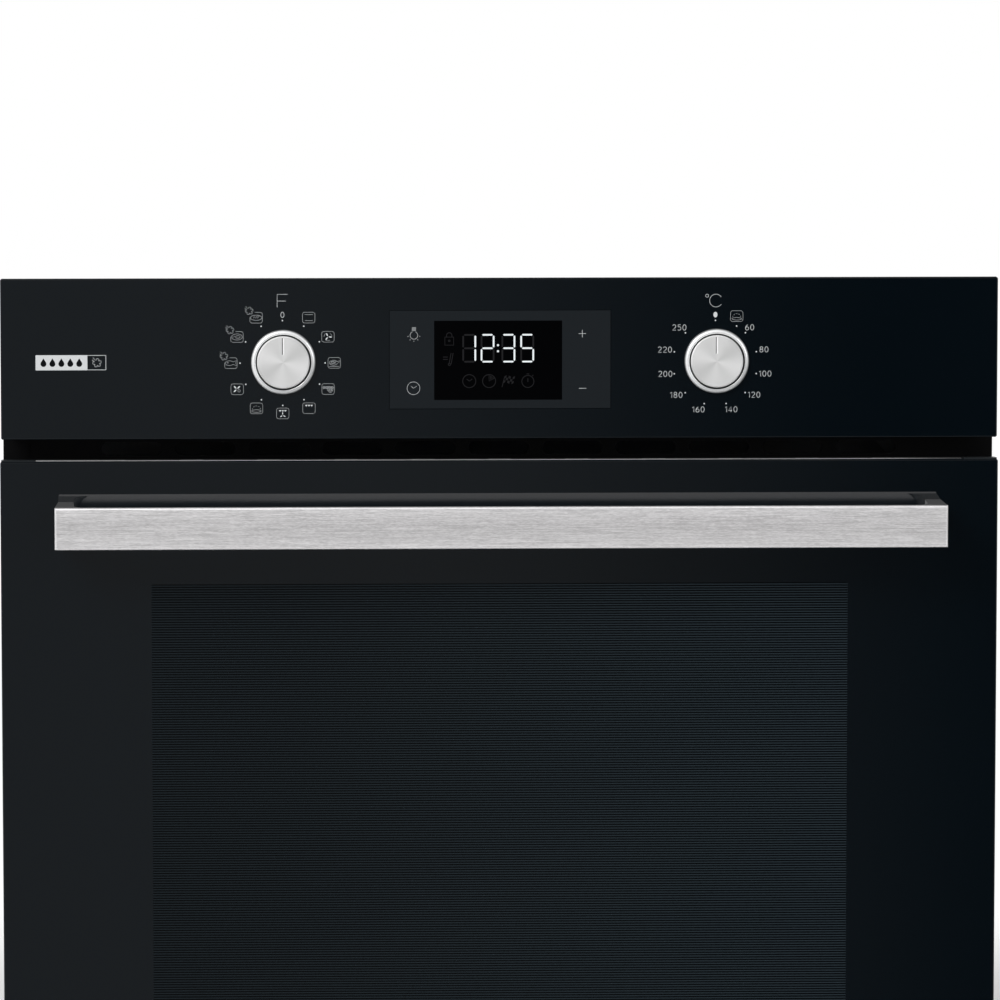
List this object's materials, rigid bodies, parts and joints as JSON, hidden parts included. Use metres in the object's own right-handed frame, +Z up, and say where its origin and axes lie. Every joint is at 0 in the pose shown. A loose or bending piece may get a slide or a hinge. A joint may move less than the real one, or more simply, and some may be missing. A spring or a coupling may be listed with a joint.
{
  "type": "wall oven",
  "caption": "Built-in wall oven with a black glass front, retractable knobs, clock display, drop-down glazed door with bar handle and a fitted enamelled cavity.",
  "frame": {"origin": "middle of the width, on the plane of the cabinet's front edges, at the underside of the base", "axes": "+X to the right seen from the front, +Y to the back of the cabinet, +Z up"},
  "size_m": [0.595, 0.6032, 0.595],
  "materials": {
    "black_glass": "gloss",
    "clear_glass": "gloss",
    "display_glass": "gloss",
    "grey_enamel": "gloss enamel",
    "black_enamel": "satin",
    "galvanised": "spangled",
    "handle_metal": "brushed",
    "post_metal": "satin",
    "spun_metal": "spun",
    "bezel_metal": "satin",
    "door_metal": "satin",
    "door_dark": "satin",
    "black_plastic": "matte",
    "board": "matte",
    "gasket_rubber": "matte",
    "mineral_wool": "felted",
    "heater_rod": "oxidised",
    "bright_wire": "polished",
    "plain_steel": "plain",
    "hinge_steel": "plated",
    "motor_steel": "satin",
    "lamp_ceramic": "matte"
  },
  "bodies": {
    "oven_body": {"air_duct": "galvanised", "baking_tray": "grey_enamel", "base_panel": "galvanised", "blower_housing": "galvanised", "blower_motor": "motor_steel", "bottom_element": "heater_rod", "cable_gland": "black_plastic", "casing_screws": "plain_steel", "cavity_liner": "grey_enamel", "control_bracket": "black_enamel", "control_fascia": "black_glass", "display_lens": "display_glass", "display_module": "board", "door_gasket": "gasket_rubber", "fan_cover": "grey_enamel", "fan_motor": "motor_steel", "fascia_carrier": "black_plastic", "front_frame": "black_enamel", "grill_element": "heater_rod", "hinge_claws": "hinge_steel", "hinge_receivers": "hinge_steel", "insulation_rear": "mineral_wool", "insulation_wrap": "mineral_wool", "knob_bezel_left": "bezel_metal", "knob_bezel_right": "bezel_metal", "lamp_bulb": "clear_glass", "lamp_glass": "clear_glass", "lamp_holder": "lamp_ceramic", "rear_panel": "galvanised", "ring_element": "heater_rod", "selector_switch": "black_plastic", "side_panel_left": "galvanised", "side_panel_right": "galvanised", "side_rack_left": "bright_wire", "side_rack_right": "bright_wire", "terminal_box": "black_plastic", "thermostat": "black_plastic", "top_panel": "galvanised", "wire_shelf": "bright_wire"},
    "door": {"door_outer_glass": "black_glass", "door_middle_glass": "clear_glass", "door_inner_glass": "clear_glass", "door_stile_left": "door_dark", "door_stile_right": "door_dark", "door_top_rail": "door_metal", "door_bottom_rail": "door_dark", "door_end_caps": "black_plastic", "handle_bar": "handle_metal", "handle_posts": "post_metal", "handle_screws": "plain_steel", "hinge_channels": "hinge_steel", "hinge_pins": "plain_steel", "hinge_springs": "plain_steel"},
    "hinge_rods": {"hinge_rods": "plain_steel"},
    "selector_shaft": {"selector_shaft": "plain_steel"},
    "selector_knob": {"selector_knob": "spun_metal"},
    "thermostat_shaft": {"thermostat_shaft": "plain_steel"},
    "temperature_knob": {"temperature_knob": "spun_metal"},
    "convection_fan": {"convection_fan": "plain_steel"},
    "blower_rotor": {"blower_rotor": "plain_steel"}
  },
  "joints": [
    {"name": "door_hinge", "type": "hinge", "parent": "oven_body", "child": "door", "pos_m": [0, -0.0155, 0.018], "axis": [1, 0, 0], "range_deg": [0, 90], "stiffness_Nm_per_rad": 6, "springref_deg": -20.05},
    {"name": "hinge_rods_slide", "type": "slide", "parent": "door", "child": "hinge_rods", "axis": [0, 0, -1], "range_m": [0, 0.009], "deforming": ["hinge_springs"]},
    {"name": "selector_turn", "type": "hinge", "parent": "oven_body", "child": "selector_shaft", "pos_m": [-0.129, -0.005, 0.5453], "axis": [0, 1, 0], "continuous": true},
    {"name": "selector_pop", "type": "slide", "parent": "selector_shaft", "child": "selector_knob", "axis": [0, -1, 0], "range_m": [0, 0.014]},
    {"name": "thermostat_turn", "type": "hinge", "parent": "oven_body", "child": "thermostat_shaft", "pos_m": [0.129, -0.005, 0.5453], "axis": [0, 1, 0], "range_deg": [0, 315]},
    {"name": "temperature_pop", "type": "slide", "parent": "thermostat_shaft", "child": "temperature_knob", "axis": [0, -1, 0], "range_m": [0, 0.014]},
    {"name": "convection_spin", "type": "hinge", "parent": "oven_body", "child": "convection_fan", "pos_m": [0, 0.41, 0.255], "axis": [0, 1, 0], "continuous": true},
    {"name": "blower_spin", "type": "hinge", "parent": "oven_body", "child": "blower_rotor", "pos_m": [0, 0.372, 0.518], "axis": [1, 0, 0], "continuous": true}
  ],
  "couplings": [
    {"joint": "hinge_rods_slide", "follows": "door_hinge", "m_per_rad": 0.0057}
  ]
}
